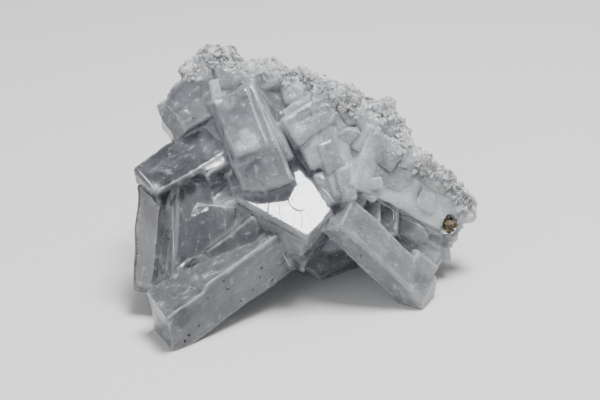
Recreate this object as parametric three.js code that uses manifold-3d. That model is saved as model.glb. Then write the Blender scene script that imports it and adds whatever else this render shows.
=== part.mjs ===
// A barite specimen: blocky blue-grey crystals grown together on a broken mass of the same mineral.
// Millimetres, +Z up. The origin is at the bottom centre, on the surface that the specimen rests on.
import * as THREE from "three";
import { mergeVertices } from "three/addons/utils/BufferGeometryUtils.js";
import Module from "manifold-3d";

// The side with the crystals leans back. Places on it are given as [across, up, out] of that side.
const SHOW_SIDE_LEAN = 25;
// How far below the middle of that side the specimen was set down, measured straight down.
const FOOT_BELOW_MIDDLE = 21;
// Edges that grew sharp are worn back by this much.
const WORN_EDGE = 0.35;
// The clear space left round the iron oxide grain in its pocket.
const GRAIN_GAP = 0.3;
// Small crystals crusted along the broken rim: how many, and the widths they come in.
const RIM_CRYSTALS = 52;
const RIM_SMALLEST = 2;
const RIM_LARGEST = 4;
// How far their tips stray from the rim's run, across or up and out of it, and how far they turn, in degrees.
const RIM_STRAY = { across: 1, out: 5 };
const RIM_TURN = { swing: 80, lean: 70, roll: 90 };
// Length and thickness of a rim crystal as shares of its width.
const RIM_LENGTH_SHARE = 2;
const RIM_THICK_SHARE = 0.8;
// The faces of a broken lump stray from even: in turn and tilt, and in how far out each lies.
const LUMP_TURN = 0.9;
const LUMP_TILT = 0.4;
const LUMP_NEAREST = 0.86;
const LUMP_FARTHEST = 1.06;
// The turn from one face of a lump to the next that spreads them evenly.
const GOLDEN_ANGLE = Math.PI * (3 - Math.sqrt(5));
// A block larger than the specimen, for the ground that it is set down on.
const GROUND_SIZE = 200;

const BARITE = new THREE.MeshStandardMaterial({ color: 0xa9b0b8, roughness: 0.35, metalness: 0 });
const IRON_OXIDE = new THREE.MeshStandardMaterial({ color: 0x5a4632, roughness: 0.9, metalness: 0 });

// The crystals that stand out by themselves. tip is the middle of the end that shows.
const crystals = {
  upperLeftBlock: {
    tip: [-28, 15.4, -3], swing: 218, lean: 8, roll: 8, length: 18.2, width: 12, thick: 11,
    cuts: [[0, -1, 0, 2.4], [0.52, -0.86, 0, 5], [1, 0, 0.9, 1.6]],
  },
  leftArm: {
    tip: [-30.6, 1.8, 3.2], swing: 211.5, lean: 18.4, roll: 37, length: 27, width: 10.5, thick: 7,
    cuts: [[0.139, -0.99, 0, 1.5], [1, 0, -1, 2]],
  },
  leftArmStep: {
    tip: [-21.4, 5.4, 0.2], swing: 211.5, lean: 18.4, roll: 37, length: 18, width: 11, thick: 7.8,
  },
  leftWall: {
    tip: [-23, -17.6, 1.4], swing: 268, lean: 8, roll: -35, length: 20.5, width: 13, thick: 12,
    cuts: [[0, -1, -1, 2.4]],
  },
  leftWallBack: { tip: [-24, -17, -1.4], swing: 274, lean: 8, roll: -35, length: 19, width: 10, thick: 11 },
  leftWallLedge: { tip: [-26.2, -18, 1], swing: 262, lean: 12, roll: -50, length: 12, width: 9, thick: 6 },
  lowerLeftArm: {
    tip: [-28.3, -25, 12.3], swing: 215, lean: 25, roll: 45, length: 38, width: 10, thick: 10,
    cuts: [[1, 0.6, -0.6, 1.6], [1, -0.25, 0.05, 2.9]],
  },
  lowerLeftStep: {
    tip: [-20.6, -19.2, 8], swing: 215, lean: 25, roll: 45, length: 28, width: 9.4, thick: 10.8,
  },
  mirrorPlate: {
    tip: [6.3, -2.95, 4.4], swing: -28.8, lean: 10, roll: -29, length: 17.5, width: 16, thick: 2.4,
    cuts: [[0.982, -0.187, 0, 1.5], [0.5, 0.866, 0, 6.8]],
  },
  mirrorPlateMiddle: {
    tip: [5.6, -5.3, 1.5], swing: -28.8, lean: 10, roll: -29, length: 19.5, width: 16, thick: 5,
    cuts: [[0.982, -0.187, 0, 1.5]],
  },
  mirrorPlateBase: {
    tip: [4.5, -9.2, -3.6], swing: -28.8, lean: 10, roll: -29, length: 20.2, width: 16, thick: 8,
    cuts: [[0, -1, -1, 3]],
  },
  middleBlock: {
    tip: [-5.6, 1.4, 5], swing: -68, lean: 15, roll: 0, length: 22, width: 10.5, thick: 6.5,
    cuts: [[0.93, -0.37, 0, 1.6]],
  },
  middleBlockTop: { tip: [-8.8, 8.6, 5.4], swing: -68, lean: 15, roll: 0, length: 14, width: 8, thick: 4 },
  middleBlockSide: { tip: [-2.6, 7.4, 2.4], swing: -63, lean: 12, roll: 0, length: 18, width: 4, thick: 5 },
  middleBlockFoot: { tip: [-10.6, 1.6, 2.2], swing: -74, lean: 20, roll: 8, length: 9, width: 6, thick: 5 },
  upperBlock: { tip: [-2.6, 12.8, 2.6], swing: 213, lean: 16, roll: 5, length: 12.5, width: 6.8, thick: 5 },
  upperBlockStep: {
    tip: [-1.4, 14.6, 0.2], swing: 207, lean: 14, roll: 12, length: 11.5, width: 8, thick: 5,
  },
  hangingSlab: { tip: [9.6, 0.6, 2.4], swing: -68, lean: 10, roll: 0, length: 21, width: 6, thick: 5 },
  hangingSlabLeft: { tip: [4.6, 6.6, 1.6], swing: -62, lean: 10, roll: 0, length: 14, width: 5, thick: 5 },
  hangingSlabRight: {
    tip: [12.6, 5.4, 0.6], swing: -76, lean: 6, roll: -10, length: 14, width: 6.5, thick: 5,
  },
  shoulderBlock: {
    tip: [17.2, 14.2, -6.4], swing: 56, lean: -14, roll: 12, length: 19, width: 9.5, thick: 9,
  },
  rightBlock: {
    tip: [31.4, -2.2, -14], swing: -27, lean: -32, roll: -10, length: 29, width: 12, thick: 10,
    cuts: [[0.22, 0.975, 0, 1.9], [1, 0.8, 0, 2.2], [1, -0.6, 0, 1.2]],
  },
  rightBlockStep: {
    tip: [27.4, -8.6, -14.4], swing: -33, lean: -28, roll: -24, length: 20, width: 6, thick: 9,
  },
  lowerRightArm: {
    tip: [26.6, -20.8, -6], swing: -43, lean: -20, roll: -35, length: 28, width: 7.2, thick: 6.8,
    cuts: [[1, 0, 1, 2.6]],
  },
  rightFoot: { tip: [27.6, -13.4, -15], swing: -45, lean: -20, roll: -20, length: 14, width: 7, thick: 7 },
  archChunk: { tip: [-0.6, -10.4, 1], swing: -50, lean: 5, roll: 20, length: 10, width: 5.5, thick: 4.5 },
};

// Blunt crystals that point away behind, where the mass was broken from its bed.
const backCrystals = {
  backUpper: { tip: [-13, 21, -18], swing: 125, lean: -48, roll: 20, length: 16, width: 9, thick: 8 },
  backMiddle: { tip: [3, 15, -23], swing: 85, lean: -62, roll: -15, length: 16, width: 11, thick: 8 },
  backRight: { tip: [20, 6, -25], swing: 25, lean: -55, roll: 30, length: 18, width: 9, thick: 9 },
  backLeft: { tip: [-24, 5, -14], swing: 190, lean: -40, roll: 10, length: 16, width: 10, thick: 8 },
  backLower: { tip: [-13, -7, -21], swing: 230, lean: -58, roll: -25, length: 16, width: 10, thick: 9 },
};

// The broken mass behind and between the crystals, with its foot on the ground.
const mass = [
  { at: [-12, 14, -9], size: [26, 28, 16], faces: 16, seed: 3 },
  { at: [5, 9, -11], size: [32, 24, 20], faces: 16, seed: 5 },
  { at: [-11, -3.4, -8], size: [24, 22, 22], faces: 14, seed: 7 },
  { at: [5, -3.4, -17], size: [34, 17, 16], faces: 14, seed: 11 },
  { at: [20, -2, -17], size: [20, 18, 12], faces: 14, seed: 13 },
  { at: [-7.4, 23.4, -8], size: [13, 8, 9], faces: 12, seed: 17 },
  { at: [0, 20.2, -8], size: [12, 9, 10], faces: 12, seed: 19 },
  { at: [9.2, 16, -8], size: [13, 8, 10], faces: 12, seed: 23 },
  { at: [32.6, -1.4, -11.5], size: [5, 5, 6], faces: 10, seed: 29 },
  { at: [4, -8.2, -23.4], size: [36, 11.6, 14], faces: 14, seed: 31 },
];

// The run of the broken rim, from the upper left round to the lower right. Small crystals point out from it.
const rimPath = [
  [-27.8, 18, -3], [-25.9, 22.3, -4], [-18.8, 29.5, -5], [-15.8, 30.8, -6], [-12.4, 28.2, -7],
  [-7.8, 27.7, -8], [-2.2, 25.7, -8], [1, 25.4, -9], [3.7, 22.7, -9], [11.3, 20.6, -9],
  [16.8, 18.2, -9], [20.4, 14, -10], [21.4, 10.4, -10], [26.2, 7.5, -11], [29.6, 5.2, -11],
  [33.8, 1, -12], [34.4, -3, -12], [32.4, -8, -13], [27.9, -14.2, -15],
];

// The iron oxide grain, sunk to about half in the lower end of the right block.
const grain = { at: [30.3, -5.1, -8.8], size: [2.4, 2.8, 2.6], faces: 14, seed: 41 };

const wasm = await Module();
wasm.setup();

const radians = THREE.MathUtils.degToRad;

// From [across, up, out] of the leaning side to the upright frame.
const showSide = new THREE.Matrix4().makeRotationX(radians(90 - SHOW_SIDE_LEAN));

// A convex block bounded by flat faces, each [x, y, z, distance] with a unit normal that points out.
function convexGeometry(faces) {
  const normals = faces.map(([x, y, z]) => new THREE.Vector3(x, y, z));
  const distances = faces.map((face) => face[3]);
  const corners = cornersOf(normals, distances);
  const triangles = [];
  normals.forEach((normal, f) => {
    const ring = corners.filter((corner) => Math.abs(corner.dot(normal) - distances[f]) < 1e-6);
    if (ring.length < 3) return;
    const middle = ring.reduce((sum, p) => sum.add(p), new THREE.Vector3()).divideScalar(ring.length);
    const right = new THREE.Vector3().subVectors(ring[0], middle).normalize();
    const ahead = new THREE.Vector3().crossVectors(normal, right);
    const bearing = (p) => Math.atan2(p.clone().sub(middle).dot(ahead), p.clone().sub(middle).dot(right));
    ring.sort((a, b) => bearing(a) - bearing(b));
    for (let i = 2; i < ring.length; i++) triangles.push(ring[0], ring[i - 1], ring[i]);
  });
  return new THREE.BufferGeometry().setFromPoints(triangles);
}

// Every point where three of the faces meet and that no other face cuts off.
function cornersOf(normals, distances) {
  const corners = [];
  const meet = new THREE.Matrix3();
  for (let i = 0; i < normals.length; i++)
    for (let j = i + 1; j < normals.length; j++)
      for (let k = j + 1; k < normals.length; k++) {
        const [a, b, c] = [normals[i], normals[j], normals[k]];
        meet.set(a.x, a.y, a.z, b.x, b.y, b.z, c.x, c.y, c.z);
        if (Math.abs(meet.determinant()) < 1e-4) continue;
        const point = new THREE.Vector3(distances[i], distances[j], distances[k]).applyMatrix3(meet.invert());
        const inside = normals.every((normal, n) => normal.dot(point) < distances[n] + 1e-7);
        if (inside && corners.every((corner) => corner.distanceTo(point) > 1e-5)) corners.push(point);
      }
  return corners;
}

// The manifold solid of a closed geometry, placed by a matrix.
function solidOf(geometry, matrix) {
  const bare = new THREE.BufferGeometry().setAttribute("position", geometry.getAttribute("position"));
  const merged = mergeVertices(bare.applyMatrix4(matrix), 1e-4);
  const mesh = new wasm.Mesh({
    numProp: 3,
    vertProperties: merged.attributes.position.array,
    triVerts: new Uint32Array(merged.index.array),
  });
  return new wasm.Manifold(mesh);
}

// The worn edges of a block: the four along it, and the four round its tip end.
function wornEdges() {
  const worn = [];
  for (const y of [-1, 1]) for (const z of [-1, 1]) worn.push([0, y, z, WORN_EDGE]);
  for (const side of [-1, 1]) worn.push([1, side, 0, WORN_EDGE], [1, 0, side, WORN_EDGE]);
  return worn;
}

// A crystal is a block with its tip end at x = 0. Its long way runs along x, width along y, thickness along z.
// swing turns the tip in the plane of the show side, from across towards up. lean raises the tip out of that
// side, and roll turns the block about its own length. Each cut [x, y, z, depth] takes off what points that way.
function crystal({ tip, swing, lean, roll, length, width, thick, cuts = [], worn = wornEdges() }) {
  const reach = (n) => Math.max(0, -n.x * length) + (Math.abs(n.y) * width) / 2 + (Math.abs(n.z) * thick) / 2;
  const faces = [
    [1, 0, 0, 0],
    [-1, 0, 0, 0],
    [0, 1, 0, 0],
    [0, -1, 0, 0],
    [0, 0, 1, 0],
    [0, 0, -1, 0],
    ...cuts,
    ...worn,
  ].map(([x, y, z, depth]) => {
    const normal = new THREE.Vector3(x, y, z).normalize();
    return [normal.x, normal.y, normal.z, reach(normal) - depth];
  });
  const turn = new THREE.Matrix4()
    .makeRotationZ(radians(swing))
    .multiply(new THREE.Matrix4().makeRotationY(radians(-lean)))
    .multiply(new THREE.Matrix4().makeRotationX(radians(roll)));
  const placed = showSide.clone().multiply(turn.setPosition(...tip));
  return solidOf(convexGeometry(faces), placed);
}

// A small generator of repeatable numbers from 0 to 1.
function seeded(seed) {
  let state = seed;
  return () => {
    state = (state * 1664525 + 1013904223) % 4294967296;
    return state / 4294967296;
  };
}

// A broken lump: flat cleavage faces all round a middle, at uneven distances. grow adds to it on every side.
function lump({ at, size, faces, seed }, grow = 0) {
  const random = seeded(seed);
  const [across, up, out] = size;
  const planes = [];
  for (let i = 0; i < faces; i++) {
    const z = 1 - (2 * (i + 0.5)) / faces;
    const turn = i * GOLDEN_ANGLE + random() * LUMP_TURN;
    const ring = Math.sqrt(1 - z * z);
    const tilted = z + (random() - 0.5) * LUMP_TILT;
    const normal = new THREE.Vector3(ring * Math.cos(turn), ring * Math.sin(turn), tilted).normalize();
    const reach = Math.hypot(normal.x * across, normal.y * up, normal.z * out) / 2;
    const share = THREE.MathUtils.lerp(LUMP_NEAREST, LUMP_FARTHEST, random());
    planes.push([normal.x, normal.y, normal.z, reach * share + grow]);
  }
  const placed = showSide.clone().multiply(new THREE.Matrix4().makeTranslation(...at));
  return solidOf(convexGeometry(planes), placed);
}

// The crust of small crystals along the rim, each turned its own way but pointing out.
function rimCrystals() {
  const random = seeded(97);
  const uneven = (spread) => spread * (random() - 0.5);
  const path = new THREE.CatmullRomCurve3(rimPath.map((point) => new THREE.Vector3(...point)));
  const shapes = [];
  for (let i = 0; i < RIM_CRYSTALS; i++) {
    const along = (i + 0.5) / RIM_CRYSTALS;
    const ahead = path.getTangentAt(along);
    const outward = THREE.MathUtils.radToDeg(Math.atan2(ahead.x, -ahead.y));
    const stray = [uneven(RIM_STRAY.across), uneven(RIM_STRAY.across), uneven(RIM_STRAY.out)];
    const place = path.getPointAt(along).add(new THREE.Vector3(...stray));
    const size = THREE.MathUtils.lerp(RIM_SMALLEST, RIM_LARGEST, random() ** 2);
    shapes.push(
      crystal({
        tip: place.toArray(),
        swing: outward + uneven(RIM_TURN.swing),
        lean: uneven(RIM_TURN.lean),
        roll: uneven(RIM_TURN.roll),
        length: size * RIM_LENGTH_SHARE,
        width: size,
        thick: size * RIM_THICK_SHARE,
        worn: [],
      }),
    );
  }
  return shapes;
}

const joined = wasm.Manifold.union([
  ...Object.values(crystals).map((shape) => crystal(shape)),
  ...Object.values(backCrystals).map((shape) => crystal(shape)),
  ...mass.map((shape) => lump(shape)),
  ...rimCrystals(),
]);

// Set down: what reaches below the foot is cut off flat.
const groundBlock = new THREE.BoxGeometry(GROUND_SIZE, GROUND_SIZE, GROUND_SIZE).toNonIndexed();
const groundMiddle = -FOOT_BELOW_MIDDLE - GROUND_SIZE / 2;
const ground = solidOf(groundBlock, new THREE.Matrix4().makeTranslation(0, 0, groundMiddle));
// The outermost skin alone: hollows closed in between the crystals are solid stone.
const shells = joined.subtract(ground).decompose();
const stone = shells.reduce((best, shell) => (shell.volume() > best.volume() ? shell : best));
const specimen = stone.subtract(lump(grain, GRAIN_GAP));

// The geometry of a solid, for a mesh.
function geometryOf(solid) {
  const { vertProperties, triVerts } = solid.getMesh();
  const geometry = new THREE.BufferGeometry();
  geometry.setAttribute("position", new THREE.BufferAttribute(vertProperties, 3));
  geometry.setIndex(new THREE.BufferAttribute(triVerts, 1));
  return geometry;
}

const cluster = new THREE.Mesh(geometryOf(specimen), BARITE);
cluster.name = "barite_crystals";

const oxide = new THREE.Mesh(geometryOf(lump(grain)), IRON_OXIDE);
oxide.name = "iron_oxide_grain";

const part = new THREE.Group();
part.add(cluster, oxide);

// The origin goes to the bottom centre of the whole.
const bounds = specimen.boundingBox();
const middle = bounds.min.map((low, axis) => (low + bounds.max[axis]) / 2);
part.position.set(-middle[0], -middle[1], -bounds.min[2]);

export default part;
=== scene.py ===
"""A barite specimen: the looks of an intergrown crystal cluster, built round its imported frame."""

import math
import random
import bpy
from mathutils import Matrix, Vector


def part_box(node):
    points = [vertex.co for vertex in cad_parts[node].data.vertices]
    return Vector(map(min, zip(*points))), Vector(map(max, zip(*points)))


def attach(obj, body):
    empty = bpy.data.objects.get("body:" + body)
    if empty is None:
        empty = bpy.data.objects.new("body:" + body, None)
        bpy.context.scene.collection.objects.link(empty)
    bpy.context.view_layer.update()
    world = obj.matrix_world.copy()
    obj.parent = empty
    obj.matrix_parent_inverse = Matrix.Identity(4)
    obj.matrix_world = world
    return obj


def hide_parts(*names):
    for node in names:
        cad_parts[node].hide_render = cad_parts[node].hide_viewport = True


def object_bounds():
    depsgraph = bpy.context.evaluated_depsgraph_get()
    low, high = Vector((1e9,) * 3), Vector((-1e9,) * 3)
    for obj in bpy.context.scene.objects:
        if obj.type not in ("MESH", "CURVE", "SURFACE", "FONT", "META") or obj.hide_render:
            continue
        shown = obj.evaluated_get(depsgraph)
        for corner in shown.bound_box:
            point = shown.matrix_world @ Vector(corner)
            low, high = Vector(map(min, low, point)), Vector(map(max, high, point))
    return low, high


bl_info = {
    "name": "Barite specimen",
    "version": (1, 0, 0),
    "blender": (4, 5, 0),
    "location": "3D View > Sidebar > Barite",
    "description": "Builds the crystals, crust, specks and grain of a barite specimen, and its studio",
    "category": "Add Mesh",
}

import bmesh
import bpy
import numpy as np
from mathutils import Matrix, Vector, kdtree, noise
from mathutils.bvhtree import BVHTree
from mathutils.geometry import delaunay_2d_cdt

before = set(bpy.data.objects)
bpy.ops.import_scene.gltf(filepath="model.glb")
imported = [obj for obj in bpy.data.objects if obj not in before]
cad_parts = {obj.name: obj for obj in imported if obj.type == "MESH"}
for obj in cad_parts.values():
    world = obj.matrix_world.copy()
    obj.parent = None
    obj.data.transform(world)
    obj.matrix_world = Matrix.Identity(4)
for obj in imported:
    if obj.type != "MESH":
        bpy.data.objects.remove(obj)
CAD_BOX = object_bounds()

MM = 0.001

# The side with the crystals leans back by this much, and its middle is here in the row frame.
SHOW_SIDE_LEAN = math.radians(25)
SHOW_MIDDLE = Vector((-1.712, -0.957, 21.0)) * MM
SHOW_SIDE = Matrix.Translation(SHOW_MIDDLE) @ Matrix.Rotation(math.pi / 2 - SHOW_SIDE_LEAN, 4, "X")
# The photograph is taken from straight in front of that side.
VIEW_DISTANCE = 400 * MM
PIXEL = 0.2 * MM
IMAGE_MIDDLE = (300, 200)
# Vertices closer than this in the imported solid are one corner.
WELD = 0.002 * MM

# The crystals, in millimetres and degrees: tip, turns, size and finish. tip is the middle of the end that
# shows, as [across, up, out] of the show side. The turns are swing, lean and roll, and the size is length,
# width and thickness. The finish is shade, from 0, dark, to 1, pale, which is partly the crystal's own tone and
# partly painted light and shade: the crystals on the lit top and right are set paler and those at the lower
# left darker; wear, from 0, crisp, to 1, blunt and grown together with its neighbours; and how deep its
# cleavage steps are.
CRYSTALS = {
    "upper_left_block": ((-28, 15.4, -3), (218, 8, 8), (18.2, 12, 11), (0.22, 1, 0.4)),
    "left_arm": ((-30.6, 1.8, 3.2), (211.5, 18.4, 37), (27, 10.5, 7), (0.08, 0.3, 0.15)),
    "left_arm_step": ((-21.4, 5.4, 0.2), (211.5, 18.4, 37), (18, 11, 7.8), (0.12, 0.5, 0.2)),
    "left_wall": ((-23, -17.6, 1.4), (268, 8, -35), (20.5, 13, 12), (0.2, 0.35, 0.3)),
    "left_wall_back": ((-24, -17, -1.4), (274, 8, -35), (19, 10, 11), (0.15, 0.5, 0.4)),
    "left_wall_ledge": ((-26.2, -18, 1), (262, 12, -50), (12, 9, 6), (0.2, 0.4, 0.3)),
    "lower_left_arm": ((-28.3, -25, 12.3), (215, 25, 45), (38, 10, 10), (0.22, 0.3, 0.2)),
    "lower_left_step": ((-20.6, -19.2, 8), (215, 25, 45), (28, 9.4, 10.8), (0.25, 0.4, 0.25)),
    "mirror_plate": ((6.3, -2.95, 4.4), (-28.8, 10, -29), (17.5, 16, 2.4), (0.35, 0.1, 0)),
    "mirror_plate_middle": ((5.6, -5.3, 1.5), (-28.8, 10, -29), (19.5, 16, 5), (0.25, 0.2, 0.1)),
    "mirror_plate_base": ((4.5, -9.2, -3.6), (-28.8, 10, -29), (20.2, 16, 8), (0.2, 0.3, 0.3)),
    "middle_block": ((-5.6, 1.4, 5), (-68, 15, 0), (22, 10.5, 6.5), (0.3, 0.55, 0.2)),
    "middle_block_top": ((-8.8, 8.6, 5.4), (-68, 15, 0), (14, 8, 4), (0.3, 0.8, 0.2)),
    "middle_block_side": ((-2.6, 7.4, 2.4), (-63, 12, 0), (18, 4, 5), (0.4, 0.7, 0.3)),
    "middle_block_foot": ((-10.6, 1.6, 2.2), (-74, 20, 8), (9, 6, 5), (0.35, 0.7, 0.3)),
    "upper_block": ((-2.6, 12.8, 2.6), (213, 16, 5), (12.5, 6.8, 5), (0.55, 0.5, 0.15)),
    "upper_block_step": ((-1.4, 14.6, 0.2), (207, 14, 12), (11.5, 8, 5), (0.55, 0.7, 0.3)),
    "hanging_slab": ((9.6, 0.6, 2.4), (-68, 10, 0), (21, 6, 5), (0.65, 0.8, 0.5)),
    "hanging_slab_left": ((4.6, 6.6, 1.6), (-62, 10, 0), (14, 5, 5), (0.65, 0.8, 0.5)),
    "hanging_slab_right": ((12.6, 5.4, 0.6), (-76, 6, -10), (14, 6.5, 5), (0.7, 0.8, 0.5)),
    "shoulder_block": ((17.2, 14.2, -6.4), (56, -14, 12), (19, 9.5, 9), (0.7, 1.0, 0.7)),
    "right_block": ((31.4, -2.2, -14), (-27, -32, -10), (29, 12, 10), (0.9, 0.9, 0.8)),
    "right_block_step": ((27.4, -8.6, -14.4), (-33, -28, -24), (20, 6, 9), (0.6, 0.6, 0.4)),
    "lower_right_arm": ((26.6, -20.8, -6), (-43, -20, -35), (28, 7.2, 6.8), (0.5, 0.35, 0.2)),
    "right_foot": ((27.6, -13.4, -15), (-45, -20, -20), (14, 7, 7), (0.75, 0.7, 0.4)),
    "arch_chunk": ((-0.6, -10.4, 1), (-50, 5, 20), (10, 5.5, 4.5), (0.4, 0.5, 0.3)),
    "back_upper": ((-13, 21, -18), (125, -48, 20), (16, 9, 8), (0.6, 0.6, 0.4)),
    "back_middle": ((3, 15, -23), (85, -62, -15), (16, 11, 8), (0.6, 0.6, 0.5)),
    "back_right": ((20, 6, -25), (25, -55, 30), (18, 9, 9), (0.65, 0.6, 0.4)),
    "back_left": ((-24, 5, -14), (190, -40, 10), (16, 10, 8), (0.5, 0.6, 0.4)),
    "back_lower": ((-13, -7, -21), (230, -58, -25), (16, 10, 9), (0.45, 0.6, 0.5)),
}
MIRROR = "mirror_plate"
BROKEN_FINISH = (0.6, 0.7, 0.5)
# How long, wide and thick the cleavage steps are, in millimetres.
STEP_SIZE = (5.2, 2.3, 2.3)

# Small crystals grown on the large ones: pixel x and y of the middle of the face, turns and size as above,
# how far the face stands out in millimetres, and shade and wear. The shade is partly painted light and shade,
# as for the large crystals: darker at the lower left and in the recesses.
GROWTHS = [
    (216, 92, (-80, 5, 10), (5, 2.2, 4), 0.7, (0.8, 0.6)),
    (228, 68, (-62, 5, -10), (8, 6, 5), 0.6, (0.5, 1)),
    (206, 66, (218, 5, 0), (9, 5, 5), 0.5, (0.45, 1)),
    (291, 88, (-70, 10, -10), (6, 4.4, 4), 0.6, (0.65, 0.7)),
    (262, 78, (-20, 10, 10), (8, 5, 5), 0.6, (0.7, 1)),
    (307, 86, (-40, 10, 0), (7, 5, 5), 0.7, (0.65, 0.9)),
    (336, 100, (-30, 0, 10), (9, 6, 5), 0.7, (0.6, 0.9)),
    (356, 112, (-52, 0, -10), (10, 6, 5), 0.5, (0.65, 1)),
    (379, 115, (8, 0, 5), (7, 5.4, 6), 0.9, (0.7, 1)),
    (394, 134, (-62, -10, 5), (8, 5, 5), 0.7, (0.7, 1)),
    (380, 150, (-35, -20, -8), (10, 6, 4), 0.2, (0.65, 1)),
    (412, 159, (-38, -20, 0), (9, 5, 5), 0.4, (0.8, 1)),
    (433, 176, (-34, -28, -4), (9, 5, 5), 0.3, (0.8, 1)),
    (449, 193, (-40, -28, -5), (7, 5, 5), 0.35, (0.8, 1)),
    (465, 211, (10, -20, 0), (5, 5, 4), 0.8, (0.6, 1)),
    (375, 183, (8, -10, 10), (3, 2.2, 2.4), 0.5, (0.95, 0.8)),
    (369, 195, (-42, -10, 20), (3, 2, 2.4), 0.4, (0.85, 0.7)),
    (428, 202, (-27, -32, -10), (5, 4.2, 2), 0.15, (0.95, 0.7)),
    (400, 180, (-27, -32, -10), (14, 5, 2.4), 0.3, (0.6, 0.8)),
    (428, 252, (-22, -20, 10), (5, 2.8, 2.4), 0.5, (0.9, 0.8)),
    (424, 266, (-45, -20, -20), (6, 4, 3.4), 0.4, (0.5, 0.7)),
    (366, 206, (88, -15, -12), (8, 6, 7), 0.8, (0.4, 0.2)),
    (384, 214, (88, -15, -12), (9, 6, 7), 0.6, (0.15, 0.2)),
    (402, 226, (-30, -15, 5), (12, 4, 5), 0.8, (0.4, 0.4)),
    (326, 189, (-66, 8, 12), (7, 3, 3), 0.6, (0.5, 0.7)),
    (346, 184, (-76, 4, -12), (7, 3.4, 3), 0.5, (0.55, 0.8)),
    (330, 156, (-66, 8, -10), (7, 4, 3), 0.4, (0.5, 0.9)),
    (354, 148, (-66, 0, 12), (9, 5, 3), 0.4, (0.6, 1)),
    (201, 245, (262, 4, -14), (17, 12, 8), 1, (0.16, 0.75)),
    (238, 246, (218, 10, -10), (12, 6, 6), 0.4, (0.1, 0.8)),
    (155, 238, (268, 4, 12), (21, 8, 8), 0.5, (0.16, 1)),
]

# Hairlines: width in millimetres, and the pixels that each runs through.
DARK_HAIRLINES = [
    (0.3, [(269, 202), (268, 210), (268, 218)]), (0.34, [(290, 205), (293, 208), (299, 211), (306, 209)]),
    (0.2, [(290, 205), (288, 199)]), (0.2, [(256, 201), (263, 203), (269, 202)]),
    (0.12, [(279, 204), (280, 215), (285, 226)]), (0.12, [(300, 211), (303, 220), (301, 230)]),
    (0.3, [(224, 124), (227, 131)]), (0.2, [(367, 201), (368, 207)]), (0.2, [(204, 171), (206, 177), (205, 181)]),
]
PALE_HAIRLINES = [
    (0.08, [(173, 205), (173, 230), (174, 262)]), (0.26, [(322, 188), (328, 194), (334, 202)]),
    (0.16, [(283, 253), (287, 261), (291, 269)]), (0.2, [(139, 171), (146, 179), (155, 189)]),
    (0.14, [(350, 199), (362, 194), (375, 198)]), (0.14, [(376, 199), (390, 208), (399, 215)]),
    (0.12, [(393, 209), (394, 222)]), (0.14, [(399, 216), (420, 226), (444, 236)]),
    (0.12, [(262, 104), (271, 122), (283, 148)]),
]

# The run of the broken rim, as [across, up, out] in millimetres.
RIM_PATH = [
    (-22.4, 26.4, -4.5), (-18.8, 29.5, -5), (-15.8, 30.8, -6), (-12.4, 28.2, -7),
    (-7.8, 27.7, -8), (-2.2, 25.7, -8), (1, 25.4, -9), (3.7, 22.7, -9), (11.3, 20.6, -9),
    (16.8, 18.2, -9), (20.4, 14, -10), (21.4, 10.4, -10), (26.2, 7.5, -11), (29.6, 5.2, -11),
    (33.8, 1, -12), (34.6, -1.4, -12),
]

# Where a face is clear enough to look deep into the crystal: pixel x and y, radius in pixels, strength. There the
# crystal lets more light through, and its colour is darkened as painted shade for the dark seen through it.
CLEAR_AND_PAINTED_DARK_SPOTS = [
    (166, 197, 8, 1.0), (178, 192, 9, 1.0), (190, 186, 9, 1.0), (199, 180, 7, 0.8), (172, 186, 7, 0.7),
    (183, 317, 11, 0.8), (195, 309, 8, 0.5), (310, 170, 10, 0.9), (318, 182, 7, 0.6), (384, 214, 10, 0.7),
    (377, 209, 6, 0.7), (250, 165, 13, 0.4), (190, 262, 8, 0.8), (203, 250, 8, 0.8), (273, 113, 8, 0.7),
    (421, 281, 9, 0.4), (165, 235, 12, 0.3), (236, 113, 9, 0.3), (449, 225, 8, 0.6),
]
# Where the crystal is bruised white inside or crusted.
WHITE_SPOTS = [
    (217, 97, 6, 0.9), (251, 140, 10, 0.7), (243, 146, 7, 0.6), (375, 182, 7, 0.9), (427, 199, 9, 0.9),
    (428, 252, 10, 0.9), (245, 62, 14, 0.7), (275, 72, 14, 0.7), (300, 78, 12, 0.6), (330, 95, 12, 0.5),
    (350, 110, 12, 0.6), (372, 118, 12, 0.5), (228, 100, 8, 0.4), (300, 128, 7, 0.5), (246, 133, 6, 0.6),
    (345, 150, 14, 0.4), (365, 150, 10, 0.5), (440, 185, 12, 0.5), (455, 205, 9, 0.5), (155, 188, 6, 0.6),
]
# The dark specks that the photograph shows: pixel x and y, and width in millimetres.
SPECKS = [
    (234, 216, 0.6), (252, 215, 0.5), (242, 241, 0.7), (193, 118, 0.6), (247, 176, 0.5), (224, 281, 0.7),
    (228, 289, 0.6), (262, 268, 0.6), (260, 277, 0.6), (272, 280, 0.7), (241, 301, 0.6), (361, 256, 0.5),
    (340, 191, 0.5), (185, 341, 0.8), (189, 335, 0.7), (170, 239, 0.5), (277, 234, 0.5), (195, 135, 0.4),
    (151, 213, 0.4), (156, 236, 0.4), (146, 240, 0.4), (158, 205, 0.4), (208, 298, 0.4), (199, 326, 0.5),
    (253, 290, 0.5), (292, 233, 0.4), (336, 236, 0.4), (398, 203, 0.4), (337, 189, 0.4), (311, 114, 0.4),
]


def smooth(value, low, high):
    """0 below low, 1 above high and an eased step between, for a number or an array."""
    t = np.clip((np.asarray(value, float) - low) / (high - low), 0, 1)
    return t * t * (3 - 2 * t)


def crystal_matrix(tip, turns):
    """Where a crystal is in the row frame: x along it to its tip, y over its width, z over its thickness."""
    swing, lean, roll = (math.radians(turn) for turn in turns)
    turned = Matrix.Rotation(swing, 4, "Z") @ Matrix.Rotation(-lean, 4, "Y") @ Matrix.Rotation(roll, 4, "X")
    return SHOW_SIDE @ Matrix.Translation(Vector(tip) * MM) @ turned


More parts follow.
